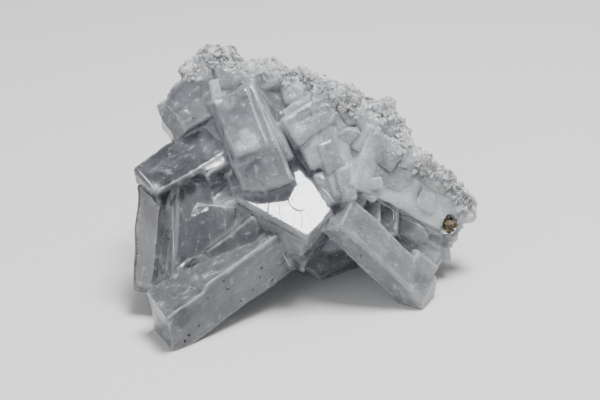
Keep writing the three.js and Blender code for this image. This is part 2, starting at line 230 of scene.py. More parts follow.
OWN_FRAMES = {name: crystal_matrix(made[0], made[1]).inverted() for name, made in CRYSTALS.items()}


def new_piece(name, mesh):
    """A new object in the scene that holds this mesh."""
    piece = bpy.data.objects.new(name, mesh)
    bpy.context.scene.collection.objects.link(piece)
    return piece


def camera_place():
    """Where the photograph was taken from, in the row frame."""
    return SHOW_SIDE @ Vector((0, 0, VIEW_DISTANCE))


def seen_at(tree, x, y):
    """The place and normal that a pixel of the photograph shows on a BVH tree's surface."""
    across = (x - IMAGE_MIDDLE[0]) * PIXEL
    up = (IMAGE_MIDDLE[1] - y) * PIXEL
    start = camera_place()
    ahead = (SHOW_SIDE @ Vector((across, up, 0)) - start).normalized()
    place, normal, _, _ = tree.ray_cast(start, ahead)
    if place is None:
        raise RuntimeError(f"pixel {x}, {y} shows none of the specimen")
    return place, normal


# Shader and geometry node trees.


def add_node(tree, kind, inputs=None, **settings):
    """Adds a node. inputs are values or other nodes' sockets, by name or number."""
    made = tree.nodes.new(kind)
    for name, value in settings.items():
        setattr(made, name, value)
    for name, value in (inputs or {}).items():
        if isinstance(value, bpy.types.NodeSocket):
            tree.links.new(value, made.inputs[name])
        else:
            made.inputs[name].default_value = value
    return made


def blend_colour(tree, share, first, second):
    """A colour that goes from first to second by share."""
    made = add_node(tree, "ShaderNodeMix", {0: share, 6: first, 7: second}, data_type="RGBA")
    return made.outputs[2]


def blend_value(tree, share, first, second):
    """A value that goes from first to second by share."""
    return add_node(tree, "ShaderNodeMix", {0: share, 2: first, 3: second}).outputs[0]


def maths(tree, operation, first, second=0.5, clamp=False):
    """One sum of two values."""
    inputs = {0: first, 1: second}
    return add_node(tree, "ShaderNodeMath", inputs, operation=operation, use_clamp=clamp).outputs[0]


def ease(tree, value, low, high):
    """0 below low, 1 above high and an eased step between."""
    inputs = {"Value": value, "From Min": low, "From Max": high}
    return add_node(tree, "ShaderNodeMapRange", inputs, interpolation_type="SMOOTHSTEP").outputs[0]


def attribute(tree, name, output="Fac"):
    """A piece's own attribute."""
    return add_node(tree, "ShaderNodeAttribute", attribute_name=name).outputs[output]


def grain_noise(tree, vector, scale, detail=3, roughness=0.55, distortion=0):
    """A cloudy noise from 0 to 1."""
    inputs = {
        "Vector": vector, "Scale": scale, "Detail": detail, "Roughness": roughness, "Distortion": distortion,
    }
    return add_node(tree, "ShaderNodeTexNoise", inputs).outputs["Fac"]


def stretched(tree, vector, scale, turn=(0, 0, 0)):
    """Coordinates scaled and turned for a pattern that runs one way."""
    return add_node(tree, "ShaderNodeMapping", {"Vector": vector, "Scale": scale, "Rotation": turn}).outputs[0]


def bumped(tree, height, depth, strength=1, below=None):
    """A bump by this height, of this depth in metres, over another bump if one is given."""
    inputs = {"Height": height, "Distance": depth, "Strength": strength}
    if below is not None:
        inputs["Normal"] = below
    return add_node(tree, "ShaderNodeBump", inputs).outputs[0]


def new_material(name):
    """A node material with nothing but its output and a Principled shader."""
    material = bpy.data.materials.new(name)
    material.use_nodes = True
    tree = material.node_tree
    tree.nodes.clear()
    shader = tree.nodes.new("ShaderNodeBsdfPrincipled")
    output = tree.nodes.new("ShaderNodeOutputMaterial")
    tree.links.new(shader.outputs[0], output.inputs["Surface"])
    return material, tree, shader, output


def feed(tree, shader, values):
    """Sets a shader's sockets, by name, to values or to other nodes' sockets."""
    for name, value in values.items():
        if isinstance(value, bpy.types.NodeSocket):
            tree.links.new(value, shader.inputs[name])
        else:
            shader.inputs[name].default_value = value


def barite_material(name, look, glow_depth):
    """Clear to milky blue-grey crystal: pale at worn edges, white where it is broken."""
    material, tree, shader, output = new_material(name)
    place = add_node(tree, "ShaderNodeTexCoord").outputs["Object"]
    own = attribute(tree, "own", "Vector")
    frost = attribute(tree, "frost")
    worn = attribute(tree, "worn")
    # shade is partly the crystal's own tone and partly painted light and shade, set paler on lit crystals and darker
    # on the others
    shade = attribute(tree, "shade")
    clear = attribute(tree, "clear")
    polish = attribute(tree, "polish")

    cloud = grain_noise(tree, place, 130, detail=5, roughness=0.6, distortion=0.4)
    mottle = grain_noise(tree, place, 620, detail=4, roughness=0.65)
    streak_place = stretched(tree, own, (0.22, 0.8, 0.8))
    streak = grain_noise(tree, streak_place, 1, detail=5, roughness=0.65, distortion=0.5)
    sugar = add_node(tree, "ShaderNodeTexVoronoi", {"Vector": place, "Scale": 2600})
    block_values = {"Vector": stretched(tree, own, (0.2, 0.42, 0.42)), "Scale": 1, "Randomness": 0.9}
    blocks = add_node(tree, "ShaderNodeTexVoronoi", block_values, distance="CHEBYCHEV").outputs["Color"]

    cleft_values = {"Vector": stretched(tree, own, (0.1, 0.3, 0.3)), "Scale": 1, "Randomness": 0.9}
    cleft = add_node(tree, "ShaderNodeTexVoronoi", cleft_values, feature="DISTANCE_TO_EDGE").outputs["Distance"]
    cleft = maths(tree, "SUBTRACT", 1, ease(tree, cleft, 0.01, 0.05))
    cleft = maths(tree, "MULTIPLY", cleft, ease(tree, mottle, 0.5, 0.6))
    # Painted glints: tiny white dots in the colour, standing in for sparkles of reflected light.
    glint = add_node(tree, "ShaderNodeTexVoronoi", {"Vector": place, "Scale": 1000})
    glint_share = ease(tree, glint.outputs["Color"], 0.65, 0.85)
    glint = maths(tree, "SUBTRACT", 1, ease(tree, glint.outputs["Distance"], 0.06, 0.14))
    glint = maths(tree, "MULTIPLY", glint, glint_share)

    veil = maths(tree, "MULTIPLY", ease(tree, streak, 0.5, 0.75), ease(tree, cloud, 0.4, 0.62))
    wisp = maths(tree, "MULTIPLY", ease(tree, mottle, 0.52, 0.75), ease(tree, cloud, 0.35, 0.6))
    # Fine white flecks, in drifts, more of them the paler the crystal is.
    fine = grain_noise(tree, place, 2100, detail=2, distortion=0.6)
    drift = ease(tree, grain_noise(tree, place, 330, detail=2), 0.38, 0.56)
    fleck = maths(tree, "MULTIPLY", ease(tree, fine, 0.55, 0.66), maths(tree, "MULTIPLY", drift, shade))
    milk = maths(tree, "ADD", maths(tree, "MULTIPLY", veil, 0.15), maths(tree, "MULTIPLY", wisp, 0.2))
    milk = maths(tree, "ADD", milk, maths(tree, "MULTIPLY", ease(tree, blocks, 0, 1), 0.12))
    milk = maths(tree, "ADD", milk, maths(tree, "ADD", maths(tree, "MULTIPLY", cloud, 0.2), 0.12))
    milk = maths(tree, "ADD", milk, maths(tree, "MULTIPLY", shade, 0.35))
    milk = maths(tree, "MULTIPLY", milk, maths(tree, "SUBTRACT", 1, maths(tree, "MULTIPLY", clear, 0.9)))
    chip = maths(tree, "MULTIPLY", maths(tree, "POWER", worn, 2), ease(tree, mottle, 0.35, 0.7))
    white = maths(tree, "MAXIMUM", frost, maths(tree, "MULTIPLY", chip, 0.18))
    # The painted glints whiten the colour here.
    white = maths(tree, "MAXIMUM", white, maths(tree, "MULTIPLY", glint, 0.7))
    white = maths(tree, "MAXIMUM", white, maths(tree, "MULTIPLY", fleck, 0.9))
    # Painted light: creases and seams between crystals, where ambient occlusion finds shade, are made milkier and
    # paler, standing in for light scattered inside the crystal.
    open_sky = add_node(tree, "ShaderNodeAmbientOcclusion", {"Distance": 0.0013}, samples=4).outputs["AO"]
    painted_crease_light = maths(tree, "MULTIPLY", maths(tree, "SUBTRACT", 1, ease(tree, open_sky, 0.3, 0.9)), 0.45)
    milk = maths(tree, "ADD", milk, painted_crease_light)

    # The body colour goes from deep to pale by shade, so it carries the painted light and shade too.
    patchy = maths(tree, "ADD", 0.2, maths(tree, "MULTIPLY", shade, 0.8))
    patches = maths(tree, "MULTIPLY", maths(tree, "SUBTRACT", cloud, 0.5), patchy)
    tint = maths(tree, "ADD", shade, patches)
    tint = maths(tree, "ADD", tint, maths(tree, "MULTIPLY", maths(tree, "SUBTRACT", mottle, 0.5), 0.25))
    body = blend_colour(tree, maths(tree, "ADD", tint, 0, clamp=True), tuple(look.deep), tuple(look.pale))
    # Painted shade: clear spots darken towards the dark depth colour, for the dark seen through clear crystal.
    body = blend_colour(tree, maths(tree, "MULTIPLY", clear, 0.8), body, tuple(look.window))
    body = blend_colour(tree, maths(tree, "MULTIPLY", veil, 0.12), body, tuple(look.veil))
    body = blend_colour(tree, maths(tree, "MULTIPLY", cleft, 0.5), body, tuple(look.veil))
    # Painted light: creases paled towards the veil colour.
    body = blend_colour(tree, painted_crease_light, body, tuple(look.veil))
    sugar_tone = ease(tree, sugar.outputs["Color"], 0.1, 0.9)
    grainy = blend_colour(tree, sugar_tone, tuple(look.frost_low), tuple(look.frost))
    colour = blend_colour(tree, maths(tree, "MULTIPLY", white, 0.85, clamp=True), body, grainy)

    solid_share = maths(tree, "MAXIMUM", milk, maths(tree, "MULTIPLY", white, 0.92), clamp=True)
    through = maths(tree, "MULTIPLY", maths(tree, "SUBTRACT", 1, solid_share, clamp=True), look.clearness)

    rough = maths(tree, "ADD", 0.1, maths(tree, "MULTIPLY", ease(tree, mottle, 0.4, 0.8), 0.2))
    rough = maths(tree, "ADD", rough, maths(tree, "MULTIPLY", white, 0.3))
    rough = maths(tree, "ADD", rough, maths(tree, "MULTIPLY", worn, 0.45))
    rough = blend_value(tree, polish, rough, 0.03)

    coarse = maths(tree, "SUBTRACT", 1, polish)
    normal = bumped(tree, cloud, 0.0004, maths(tree, "MULTIPLY", coarse, 0.2))
    pitted = maths(tree, "MULTIPLY", coarse, maths(tree, "ADD", 0.2, maths(tree, "MULTIPLY", shade, 0.8)))
    normal = bumped(tree, mottle, 0.0002, pitted, below=normal)
    sugar_bump = maths(tree, "MULTIPLY", white, 0.8)
    normal = bumped(tree, sugar.outputs["Distance"], 0.0002, sugar_bump, below=normal)

    feed(
        tree,
        shader,
        {
            "Base Color": colour,
            "Roughness": rough,
            "IOR": look.index,
            "Transmission Weight": through,
            "Subsurface Weight": look.glow,
            "Subsurface Radius": (1.0, 1.0, 1.0),
            "Subsurface Scale": glow_depth,
            "Normal": normal,
        },
    )
    haze_values = {"Color": tuple(look.depth_tint), "Density": look.depth_density}
    haze = add_node(tree, "ShaderNodeVolumeAbsorption", haze_values)
    tree.links.new(haze.outputs[0], output.inputs["Volume"])
    return material


def oxide_material(name, dark, light):
    """Earthy iron oxide, dark with lighter spots."""
    material, tree, shader, _ = new_material(name)
    place = add_node(tree, "ShaderNodeTexCoord").outputs["Object"]
    spots = grain_noise(tree, place, 1800, detail=4)
    crumbs = grain_noise(tree, place, 5000, detail=3)
    feed(
        tree,
        shader,
        {
            "Base Color": blend_colour(tree, ease(tree, spots, 0.4, 0.62), dark, light),
            "Roughness": 0.75,
            "Normal": bumped(tree, crumbs, 0.0001, 0.8),
        },
    )
    return material


# The crystals' mesh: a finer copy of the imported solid.


def facets_of(bm):
    """Numbers the faces by the flat facet that they are part of."""
    layer = bm.faces.layers.int.new("facet")
    for face in bm.faces:
        face[layer] = -1
    count = 0
    for first in bm.faces:
        if first[layer] != -1:
            continue
        first[layer] = count
        front = [first]
        while front:
            face = front.pop()
            for edge in face.edges:
                for other in edge.link_faces:
                    if other[layer] == -1 and other.normal.dot(first.normal) > 0.99996:
                        other[layer] = count
                        front.append(other)
        count += 1
    return layer


def split_rims(bm, layer, spacing):
    """Points for a finer mesh: the facets' corners, and even steps along the edges between facets.
    Gives the points, each facet's rim as short edges between them, and the turn at each short edge."""
    points = []
    corner = {}
    rims = {}
    turns = {}
    for edge in bm.edges:
        numbers = {face[layer] for face in edge.link_faces}
        if len(numbers) < 2:
            continue
        for vert in edge.verts:
            if vert.index not in corner:
                corner[vert.index] = len(points)
                points.append(vert.co.copy())
        start, end = edge.verts
        steps = max(1, round(edge.calc_length() / spacing))
        chain = [corner[start.index]]
        for i in range(1, steps):
            chain.append(len(points))
            points.append(start.co.lerp(end.co, i / steps))
        chain.append(corner[end.index])
        turn = edge.calc_face_angle_signed()
        for pair in zip(chain, chain[1:]):
            turns[frozenset(pair)] = turn
            for number in numbers:
                rims.setdefault(number, []).append(pair)
    return points, rims, turns


def inner_points(flat, edges, spacing):
    """An even triangular lattice inside a facet, clear of its rim."""
    ends = np.array([[flat[a], flat[b]] for a, b in edges])
    low, high = ends.min((0, 1)), ends.max((0, 1))
    row = spacing * math.sqrt(3) / 2
    lattice = [
        (low[0] + (i + 0.5 * (j % 2)) * spacing, low[1] + j * row)
        for j in range(1, int((high[1] - low[1]) / row) + 1)
        for i in range(int((high[0] - low[0]) / spacing) + 1)
    ]
    if not lattice:
        return []
    spots = np.array(lattice)
    x, y = spots[:, 0][:, None], spots[:, 1][:, None]
    ax, ay, bx, by = ends[:, 0, 0], ends[:, 0, 1], ends[:, 1, 0], ends[:, 1, 1]
    with np.errstate(divide="ignore", invalid="ignore"):
        crossed = ((ay > y) != (by > y)) & (x < (bx - ax) * (y - ay) / (by - ay) + ax)
    inside = crossed.sum(1) % 2 == 1
    along = np.clip(((x - ax) * (bx - ax) + (y - ay) * (by - ay)) / ((bx - ax) ** 2 + (by - ay) ** 2), 0, 1)
    gap = np.hypot(x - ax - along * (bx - ax), y - ay - along * (by - ay)).min(1)
    return [tuple(spot) for spot in spots[inside & (gap > 0.55 * spacing)]]


def inside_fence(triangles, names, fence):
    """The triangles that a closed fence of edges shuts in, found by crossing it from outside."""
    sides = {}
    for t, triangle in enumerate(triangles):
        for a, b in zip(triangle, triangle[1:] + triangle[:1]):
            sides.setdefault(frozenset((a, b)), []).append(t)

    def fenced(side):
        return frozenset(names.get(i, -1) for i in side) in fence

    inside = {}
    front = []
    for side, owners in sides.items():
        if len(owners) == 1 and owners[0] not in inside:
            inside[owners[0]] = fenced(side)
            front.append(owners[0])
    while front:
        t = front.pop()
        triangle = triangles[t]
        for a, b in zip(triangle, triangle[1:] + triangle[:1]):
            side = frozenset((a, b))
            for other in sides[side]:
                if other not in inside:
                    inside[other] = inside[t] != fenced(side)
                    front.append(other)
    return [triangle for t, triangle in enumerate(triangles) if inside[t]]


def fill_facet(points, rim, normal, spacing):
    """Triangles over one flat facet, between its rim's points and new points inside, which it adds."""
    across = normal.orthogonal().normalized()
    along = normal.cross(across)
    numbers = sorted({number for edge in rim for number in edge})
    place = {number: i for i, number in enumerate(numbers)}
    flat = [(points[n].dot(across) / MM, points[n].dot(along) / MM) for n in numbers]
    edges = [(place[a], place[b]) for a, b in rim]
    height = sum(points[n].dot(normal) for n in numbers) / len(numbers)
    inner = inner_points(flat, edges, spacing / MM)
    coords = [Vector(spot) for spot in flat + inner]
    made, _, triangles, sources, _, _ = delaunay_2d_cdt(coords, edges, [], 0, 1e-7, True)
    names = {}
    for i, source in enumerate(sources):
        if len(source) != 1:
            raise RuntimeError("two points of a facet's rim fall together")
        if source[0] < len(numbers):
            names[i] = numbers[source[0]]
    fence = {frozenset(edge) for edge in rim}
    kept = inside_fence(triangles, names, fence)
    for triangle in kept:
        for i in triangle:
            if i not in names:
                names[i] = len(points)
                points.append((across * made[i].x + along * made[i].y) * MM + normal * height)
    return [tuple(names[i] for i in triangle) for triangle in kept]


def crystal_owner(place, normal):
    """The crystal whose flat side or end holds this place, or None for a broken face."""
    best, nearest = None, 0.06 * MM
    for name, (_, _, size, _) in CRYSTALS.items():
        local = OWN_FRAMES[name] @ place
        facing = OWN_FRAMES[name].to_3x3() @ normal
        half = Vector(size) * MM / 2
        over = [abs(local.x + half.x) - half.x, abs(local.y) - half.y, abs(local.z) - half.z]
        far = max(over)
        if abs(far) < nearest and abs(facing[over.index(far)]) > 0.999:
            best, nearest = name, abs(far)
    return best or cut_owner(place, normal)


def cut_owner(place, normal):
    """The crystal that a face slants across near its tip or an edge, or None."""
    for name, (_, _, size, _) in CRYSTALS.items():
        local = OWN_FRAMES[name] @ place
        facing = OWN_FRAMES[name].to_3x3() @ normal
        half = Vector(size) * MM / 2
        over = [abs(local.x + half.x) - half.x, abs(local.y) - half.y, abs(local.z) - half.z]
        if max(over) < 0 and max(over) > -3 * MM and facing.x > -0.05 and local.dot(facing) > 0:
            return name
    return None


class CrystalMesh:
    """The finer mesh, its facets and what is near each of its points."""

    def __init__(self, node, spacing):
        bm = bmesh.new()
        bm.from_mesh(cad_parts[node].data)
        bmesh.ops.remove_doubles(bm, verts=bm.verts, dist=WELD)
        bm.normal_update()
        self.tree = BVHTree.FromBMesh(bm)
        layer = facets_of(bm)
        biggest = {}
        self.areas = {}
        for face in bm.faces:
            number = face[layer]
            area = face.calc_area()
            self.areas[number] = self.areas.get(number, 0) + area
            if number not in biggest or area > biggest[number][0]:
                biggest[number] = (area, face.normal.copy(), face.calc_center_median())
        self.owners = {number: crystal_owner(found[2], found[1]) for number, found in biggest.items()}
        self.normals = {number: found[1] for number, found in biggest.items()}
        self.points, rims, self.turns = split_rims(bm, layer, spacing)
        self.triangles, self.facets = [], []
        for number, rim in rims.items():
            made = fill_facet(self.points, rim, self.normals[number], spacing)
            self.triangles += made
            self.facets += [number] * len(made)
        bm.free()
        self.around = [set() for _ in self.points]
        for triangle, number in zip(self.triangles, self.facets):
            for i in triangle:
                self.around[i].add(number)

    def outward(self):
        """Each point's direction outwards: the mean of its facets'."""
        return [sum((self.normals[n] for n in near), Vector()).normalized() for near in self.around]

    def edges_turning(self, low, high):
        """The points on edges whose faces turn by between these angles: above zero outwards, below inwards."""
        found = set()
        for pair, turn in self.turns.items():
            if low < turn < high:
                found.update(pair)
        return nearest_of([self.points[i] for i in found])

    def polished(self, number):
        """True for the facet of the mirror plate that shines."""
        return self.owners[number] == MIRROR and self.normals[number].z > 0.7


def rounded(places, triangles, shares, fill, rounds):
    """Draws each point towards the middle of its neighbours by its own share and out again, many times over,
    which rounds it and keeps its size. fill, from 0 to 1, is how far a point stays drawn in."""
    corners = np.array(triangles)
    first = corners[:, [0, 1, 2]].ravel()
    second = corners[:, [1, 2, 0]].ravel()
    count = np.bincount(first, minlength=len(places))[:, None]
    for step in range(2 * rounds):
        totals = [np.bincount(first, places[second, axis], len(places)) for axis in range(3)]
        share = shares * (-1.03 * (1 - fill) if step % 2 else 1)
        places = places + (np.stack(totals, 1) / count - places) * share
    return places


def point_normals(places, triangles):
    """The direction outwards at each point of a mesh."""
    corners = np.array(triangles)
    a, b, c = (places[corners[:, i]] for i in range(3))
    faces = np.cross(b - a, c - a)
    totals = [np.bincount(corners.ravel(), np.repeat(faces[:, axis], 3), len(places)) for axis in range(3)]
    normals = np.stack(totals, 1)
    return normals / np.maximum(np.linalg.norm(normals, axis=1), 1e-20)[:, None]


def grain_height(place):
    """The lumps of broken grain, from about -1, a gap, to 0.5, the top of a lump."""
    cell = noise.voronoi(place * 800)[0]
    return 0.5 - min(cell[0] * 1.3, 1) + 0.4 * noise.noise(place * 1500)


def finish_of(owner):
    """Shade (partly painted light and shade), wear and step depth of a crystal, or of the broken mass."""
    return CRYSTALS[owner][3] if owner else BROKEN_FINISH


def lattice_block(size, spacing):
    """Points and triangles of a block's six sides, in an even lattice."""
    counts = [max(2, round(side / spacing)) for side in size]
    numbers, points, triangles = {}, [], []

    def number(spot):
        if spot not in numbers:
            numbers[spot] = len(points)
            points.append([(spot[i] / counts[i] - 0.5) * size[i] for i in range(3)])
        return numbers[spot]

    for axis in range(3):
        a, b = (axis + 1) % 3, (axis + 2) % 3
        for far in (False, True):
            for i in range(counts[a]):
                for j in range(counts[b]):
                    quad = []
                    for di, dj in ((0, 0), (1, 0), (1, 1), (0, 1)):
                        spot = [0, 0, 0]
                        spot[axis], spot[a], spot[b] = counts[axis] * far, i + di, j + dj
                        quad.append(number(tuple(spot)))
                    if not far:
                        quad.reverse()
                    triangles += [(quad[0], quad[1], quad[2]), (quad[0], quad[2], quad[3])]
    return np.array(points), triangles


def step_depth(owner, place):
    """How deep below its crystal's face a place lies, in millimetres: cleavage steps, in two sizes."""
    own = (OWN_FRAMES[owner] @ place if owner else place) / MM
    own += noise.noise_vector(own * 0.22) * 1.3
    deep = 0
    for size, share in ((1, 0.7), (0.45, 0.3)):
        cell = Vector([own[i] / (STEP_SIZE[i] * size) for i in range(3)])
        deep += share * (noise.cell(cell) % 1)
    return deep * finish_of(owner)[2]


def nearest_of(places):
    """A k-d tree of these places."""
    tree = kdtree.KDTree(len(places))
    for i, place in enumerate(places):
        tree.insert(place, i)
    tree.balance()
    return tree


def as_seen(across, up, out):
    """A place of the show side as the viewer sees it, on the flat of the show side."""
    nearer = VIEW_DISTANCE / (VIEW_DISTANCE - out)
    return Vector((across * nearer, up * nearer, 0))


RIM = [as_seen(*(Vector(point) * MM)) for point in RIM_PATH]
RIM_TREE = nearest_of([a.lerp(b, k / 8) for a, b in zip(RIM, RIM[1:]) for k in range(8)])
FROM_ROW = SHOW_SIDE.inverted()


def rim_share(place):
    """1 where the viewer sees the broken rim, and 0 away from it and far behind it."""
    seen = FROM_ROW @ place
    near = 1 - float(smooth(RIM_TREE.find(as_seen(*seen))[2], 0.5 * MM, 4.8 * MM))
    return near * float(smooth(seen.z, -18 * MM, -12.5 * MM))


def cloudiness(place):
    """Soft changes in how frosted the crystal is, from about -0.15 to 0.15."""
    return 0.16 * noise.fractal(place * 260, 1, 2, 3)


def spot_share(place, spots):
    """How strongly the nearest of some soft spots marks this place, from 0 to 1."""
    share = 0
    for middle, radius, strength in spots:
        distance = (place - middle).length
        if distance < radius * 1.4:
            share = max(share, strength * (1 - float(smooth(distance, radius * 0.5, radius * 1.4))))
    return share


class CrystalLook(bpy.types.PropertyGroup):
    """Sizes and colours of the barite."""

    detail: bpy.props.FloatProperty(
        name="Detail", description="Size of the triangles in the crystals' mesh", default=0.43 * MM, unit="LENGTH"
    )
    chip_depth: bpy.props.FloatProperty(
        name="Chip depth", description="Deepest chip out of a worn edge", default=0.3 * MM, unit="LENGTH"
    )
    crumble_depth: bpy.props.FloatProperty(
        name="Crumble depth", description="Deepest hollow of the broken faces", default=0.45 * MM, unit="LENGTH"
    )
    foot_kept: bpy.props.FloatProperty(
        name="Foot kept", description="Height of the foot that stays flat", default=0.05 * MM, unit="LENGTH"
    )
    bend: bpy.props.FloatProperty(
        name="Bend", description="How far faces and edges bend from straight", default=0.7 * MM, unit="LENGTH"
    )
    rounding_rounds: bpy.props.IntProperty(
        name="Rounding rounds", description="How many times over the edges are rounded", default=26
    )
    # The darkest crystals' colour is partly painted shade: dark for the dark seen through translucent crystal.
    deep: bpy.props.FloatVectorProperty(
        name="Deep", description="Colour of the darkest crystals", subtype="COLOR", size=4,
        default=(0.085, 0.093, 0.107, 1),
    )
    pale: bpy.props.FloatVectorProperty(
        name="Pale", description="Colour of the palest crystals", subtype="COLOR", size=4,
        default=(0.52, 0.54, 0.57, 1),
    )
    # Painted shade: clear spots are darkened towards this colour, standing in for the dark seen deep through clear
    # crystal.
    window: bpy.props.FloatVectorProperty(
        name="Window", description="Colour of clear spots, seen deep into the crystal", subtype="COLOR", size=4,
        default=(0.05, 0.07, 0.09, 1),
    )
    veil: bpy.props.FloatVectorProperty(
        name="Veil", description="Colour of milky veils", subtype="COLOR", size=4, default=(0.68, 0.7, 0.73, 1)
    )
    frost: bpy.props.FloatVectorProperty(
        name="Frost", description="Colour of broken grain", subtype="COLOR", size=4, default=(0.84, 0.85, 0.87, 1)
    )
    frost_low: bpy.props.FloatVectorProperty(
        name="Frost shade", description="Darker grains in the frost", subtype="COLOR", size=4,
        default=(0.5, 0.52, 0.55, 1),
    )
    clearness: bpy.props.FloatProperty(
        name="Clearness", description="Share of light that a clear face lets in", default=0.95, subtype="FACTOR"
    )
    index: bpy.props.FloatProperty(
        name="Refraction", description="Index of refraction of barite", default=1.636
    )
    glow: bpy.props.FloatProperty(
        name="Glow", description="Share of the milky part that scatters below the face", default=0.95,
        subtype="FACTOR",
    )
    glow_depth: bpy.props.FloatProperty(
        name="Glow depth", description="How far light spreads in milky crystal", default=6 * MM, unit="LENGTH"
    )
    depth_tint: bpy.props.FloatVectorProperty(
        name="Depth tint", description="Tint of light that went through clear crystal", subtype="COLOR", size=4,
        default=(0.8, 0.86, 0.92, 1),
    )
    depth_density: bpy.props.FloatProperty(
        name="Depth density", description="How strongly clear crystal tints light, per metre", default=40
    )


class CrustLook(bpy.types.PropertyGroup):
    """The small crystals that crust the broken rim."""

    density: bpy.props.FloatProperty(
        name="Density", description="Small crystals per square metre of the rim", default=3.9e6
    )
    smallest: bpy.props.FloatProperty(
        name="Smallest", description="Width of the smallest", default=0.35 * MM, unit="LENGTH"
    )
    largest: bpy.props.FloatProperty(
        name="Largest", description="Width of the largest", default=1.7 * MM, unit="LENGTH"
    )
    frost: bpy.props.FloatProperty(
        name="Frost", description="How frosted they are", default=0.5, subtype="FACTOR"
    )
    glow_depth: bpy.props.FloatProperty(
        name="Glow depth", description="How far light spreads in them", default=1.6 * MM, unit="LENGTH"
    )
    seed: bpy.props.IntProperty(name="Seed", description="Order of the random draws", default=11)


class SpeckLook(bpy.types.PropertyGroup):
    """The dark specks on the crystals."""

    strewn: bpy.props.IntProperty(
        name="Strewn", description="Specks strewn over the sides that the photograph doesn't show", default=90
    )
    smallest: bpy.props.FloatProperty(
        name="Smallest", description="Width of the smallest strewn speck", default=0.15 * MM, unit="LENGTH"
    )
    largest: bpy.props.FloatProperty(
        name="Largest", description="Width of the largest strewn speck", default=0.5 * MM, unit="LENGTH"
    )
    seed: bpy.props.IntProperty(name="Seed", description="Order of the random draws", default=5)


class HairlineLook(bpy.types.PropertyGroup):
    """The fine lines in the faces."""

    dark: bpy.props.FloatVectorProperty(
        name="Dark", description="Colour of open cracks", subtype="COLOR", size=4, default=(0.09, 0.09, 0.1, 1)
    )
    pale: bpy.props.FloatVectorProperty(
        name="Pale", description="Colour of bright layer edges", subtype="COLOR", size=4,
        default=(0.5, 0.52, 0.54, 1),
    )


class StageLook(bpy.types.PropertyGroup):
    """Floor and light of the studio."""

    floor: bpy.props.FloatVectorProperty(
        name="Floor", description="Colour of the floor", subtype="COLOR", size=4, default=(0.62, 0.62, 0.62, 1)
    )
    key_power: bpy.props.FloatProperty(
        name="Key power", description="Power of the soft overhead light", default=6, unit="POWER"
    )
    key_size: bpy.props.FloatProperty(
        name="Key size", description="Width of the overhead light", default=0.2, unit="LENGTH"
    )
    fill_power: bpy.props.FloatProperty(
        name="Fill power", description="Power of the soft light in front", default=1.5, unit="POWER"
    )
    world: bpy.props.FloatProperty(
        name="Room light", description="Strength of the light from all round", default=0.5
    )


class BARITE_OT_stage(bpy.types.Operator):
    """Makes the floor, the lights and the camera"""

    bl_idname = "barite.stage"
    bl_label = "Studio"

    def execute(self, context):
        look = context.scene.barite_stage
        self.floor(look)
        self.lights(context, look)
        self.camera(context)
        return {"FINISHED"}

    def floor(self, look):
        """A pale floor that curves up far behind."""
        profile = [(-1.2, 0)]
        for i in range(13):
            turn = math.pi / 2 * i / 12
            profile.append((1.2 + 0.5 * math.sin(turn), 0.5 - 0.5 * math.cos(turn)))
        profile.append((1.7, 1.6))
        bm = bmesh.new()
        rows = [[bm.verts.new((x, y, z)) for y, z in profile] for x in (-1.6, 1.6)]
        for i in range(len(profile) - 1):
            bm.faces.new((rows[0][i], rows[1][i], rows[1][i + 1], rows[0][i + 1])).smooth = True
        mesh = bpy.data.meshes.new("studio_floor")
        bm.to_mesh(mesh)
        bm.free()
        material, tree, shader, _ = new_material("studio_floor")
        place = add_node(tree, "ShaderNodeTexCoord").outputs["Object"]
        paper = grain_noise(tree, place, 900, detail=2)
        darker = [0.97 * value for value in look.floor[:3]] + [1]
        feed(tree, shader, {"Base Color": blend_colour(tree, paper, tuple(look.floor), darker), "Roughness": 0.8})
        mesh.materials.append(material)
        new_piece("studio_floor", mesh)

    def lights(self, context, look):
        """A soft light overhead, where the mirror plate throws it to the viewer, and a weaker one in front."""
        plate_place = crystal_matrix(*CRYSTALS[MIRROR][:2])
        facing = (plate_place.to_3x3() @ Vector((0, 0, 1))).normalized()
        plate = plate_place @ Vector((-8 * MM, 0, 0))
        to_viewer = (camera_place() - plate).normalized()
        towards = facing * 2 * facing.dot(to_viewer) - to_viewer
        self.softbox("key", plate + towards * 0.5, plate, look.key_size, look.key_power)
        self.softbox("fill", Vector((-0.35, -0.5, 0.35)), SHOW_MIDDLE, 0.4, look.fill_power)
        world = bpy.data.worlds.new("studio")
        world.use_nodes = True
        background = world.node_tree.nodes["Background"]
        background.inputs["Color"].default_value = (1, 1, 1, 1)
        background.inputs["Strength"].default_value = look.world
        context.scene.world = world

    def softbox(self, name, place, target, size, power):
        """One square area light, aimed at a place."""
        data = bpy.data.lights.new(name, "AREA")
        data.shape = "SQUARE"
        data.size = size
        data.energy = power
        light = bpy.data.objects.new(name, data)
        light.location = place
        light.rotation_euler = (target - place).to_track_quat("-Z", "Y").to_euler()
        bpy.context.scene.collection.objects.link(light)

    def camera(self, context):
        """The camera at the photograph's angle and distance."""
        data = bpy.data.cameras.new("camera")
        data.lens = 120
        data.sensor_width = 36
        data.clip_start = 0.01
        camera = bpy.data.objects.new("camera", data)
        camera.matrix_world = SHOW_SIDE @ Matrix.Translation((0, 0, VIEW_DISTANCE))
        context.scene.collection.objects.link(camera)
        context.scene.camera = camera


